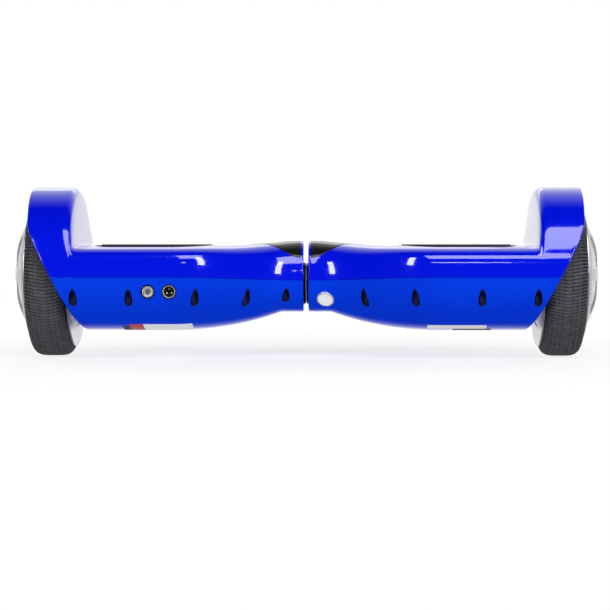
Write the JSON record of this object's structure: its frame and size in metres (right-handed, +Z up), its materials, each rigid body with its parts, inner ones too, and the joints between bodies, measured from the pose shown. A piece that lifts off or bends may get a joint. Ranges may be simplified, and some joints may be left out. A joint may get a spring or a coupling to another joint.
{
  "type": "self-balancing board",
  "caption": "Two-wheeled self-balancing board: glossy shell halves that twist at a narrow waist, rubber footpads, arched fenders and hub-motor wheels.",
  "frame": {"origin": "on the floor under the middle of the board, between the two tyres' contact patches", "axes": "+X from the left wheel to the right wheel, +Z up, -Y the side with the charging socket and power button"},
  "size_m": [0.584, 0.186, 0.17],
  "materials": {
    "upper_blue": "high gloss clear-coated moulded blue plastic",
    "lower_blue": "high gloss moulded blue plastic",
    "gloss_black": "gloss black trim",
    "mat_rubber": "grained soft rubber",
    "tyre_rubber": "moulded tread, satin",
    "alloy": "machined and polished",
    "cast_aluminium": "as cast",
    "steel": "turned",
    "chrome": "bright plated",
    "copper": "copper windings on an iron core",
    "magnet": "nickel plated",
    "circuit_board": "green solder mask",
    "black_plastic": "moulded black",
    "nylon": "natural nylon",
    "lamp_lens": "clear white lens",
    "button_grey": "translucent grey",
    "battery_wrap": "shrink wrap",
    "cable_sleeve": "braided sleeve"
  },
  "bodies": {
    "left_half": {"frame_left": "cast_aluminium", "upper_cover_left": "upper_blue", "lower_cover_left": "lower_blue", "waist_panel_left": "gloss_black", "headlight_left": "lamp_lens", "axle_left": "steel", "stator_left": "copper", "axle_clamp_left": "cast_aluminium", "clamp_bolt_left_front": "steel", "clamp_bolt_left_rear": "steel", "gyro_board_left": "circuit_board", "pad_sensor_left_front": "black_plastic", "pad_sensor_left_rear": "black_plastic", "motor_cable_left": "cable_sleeve", "main_board": "circuit_board", "pivot_shaft": "steel", "pivot_stop_pin": "steel", "pivot_circlip": "steel", "thrust_washer": "nylon", "power_button_bezel": "chrome", "charge_port_shell": "chrome", "charge_port_insert": "black_plastic", "center_harness": "cable_sleeve"},
    "right_half": {"frame_right": "cast_aluminium", "upper_cover_right": "upper_blue", "lower_cover_right": "lower_blue", "waist_panel_right": "gloss_black", "headlight_right": "lamp_lens", "axle_right": "steel", "stator_right": "copper", "axle_clamp_right": "cast_aluminium", "clamp_bolt_right_front": "steel", "clamp_bolt_right_rear": "steel", "gyro_board_right": "circuit_board", "pad_sensor_right_front": "black_plastic", "pad_sensor_right_rear": "black_plastic", "motor_cable_right": "cable_sleeve", "battery_pack": "battery_wrap", "battery_strap": "steel", "pivot_bush_inner": "nylon", "pivot_bush_outer": "nylon"},
    "left_wheel": {"tyre_left": "tyre_rubber", "rim_left": "alloy", "hub_cap_left": "alloy", "motor_cover_left_inner": "alloy", "motor_cover_left_outer": "alloy", "magnet_ring_left": "magnet", "bearing_left_inner": "steel", "bearing_left_outer": "steel"},
    "right_wheel": {"tyre_right": "tyre_rubber", "rim_right": "alloy", "hub_cap_right": "alloy", "motor_cover_right_inner": "alloy", "motor_cover_right_outer": "alloy", "magnet_ring_right": "magnet", "bearing_right_inner": "steel", "bearing_right_outer": "steel"},
    "left_footpad": {"footpad_left": "mat_rubber"},
    "right_footpad": {"footpad_right": "mat_rubber"},
    "power_button": {"power_button": "button_grey"}
  },
  "joints": [
    {"name": "waist_twist", "type": "hinge", "parent": "left_half", "child": "right_half", "pos_m": [0, 0, 0.073], "axis": [1, 0, 0], "range_deg": [-12, 12]},
    {"name": "left_wheel_spin", "type": "hinge", "parent": "left_half", "child": "left_wheel", "pos_m": [-0.255, 0, 0.0825], "axis": [1, 0, 0], "continuous": true},
    {"name": "left_footpad_press", "type": "slide", "parent": "left_half", "child": "left_footpad", "axis": [0, 0, -1], "range_m": [0, 0.0012], "stiffness_N_per_m": 30000, "springref_m": -0.0002},
    {"name": "right_wheel_spin", "type": "hinge", "parent": "right_half", "child": "right_wheel", "pos_m": [0.255, 0, 0.0825], "axis": [1, 0, 0], "continuous": true},
    {"name": "right_footpad_press", "type": "slide", "parent": "right_half", "child": "right_footpad", "axis": [0, 0, -1], "range_m": [0, 0.0012], "stiffness_N_per_m": 30000, "springref_m": -0.0002},
    {"name": "power_button_press", "type": "slide", "parent": "left_half", "child": "power_button", "axis": [0, 1, 0], "range_m": [0, 0.0015], "stiffness_N_per_m": 1500, "springref_m": -0.0005}
  ]
}
